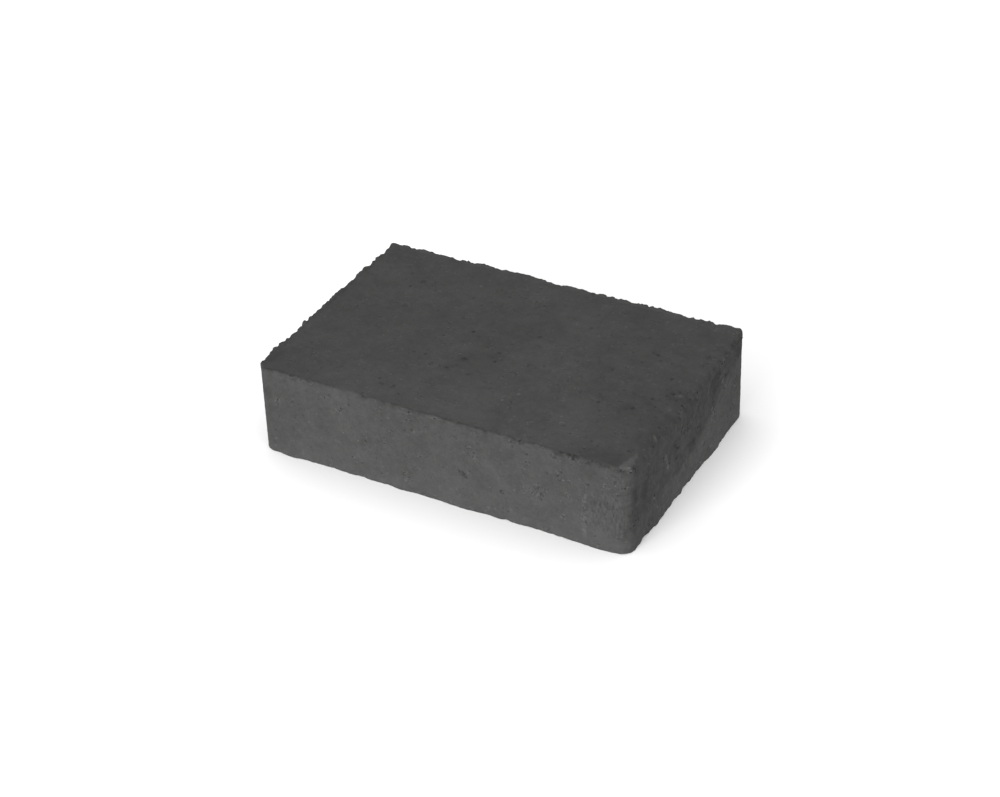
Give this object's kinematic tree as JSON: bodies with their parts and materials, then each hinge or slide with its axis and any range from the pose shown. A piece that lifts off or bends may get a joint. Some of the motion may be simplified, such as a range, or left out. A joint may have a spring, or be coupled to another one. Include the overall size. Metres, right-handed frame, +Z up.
{
  "type": "concrete paving stone",
  "caption": "Rectangular dark grey concrete paving stone with rounded upright corners, ragged top arrises and a worn end, for laying paths, drives and terraces.",
  "frame": {"origin": "middle of the bed face, on the surface that the stone lies on", "axes": "+X along the length towards the worn end, +Y across the width towards the back, +Z up out of the top face"},
  "size_m": [0.209, 0.1376, 0.05],
  "materials": {
    "concrete": "matte"
  },
  "bodies": {
    "root": {"paving_stone": "concrete"}
  },
  "joints": []
}
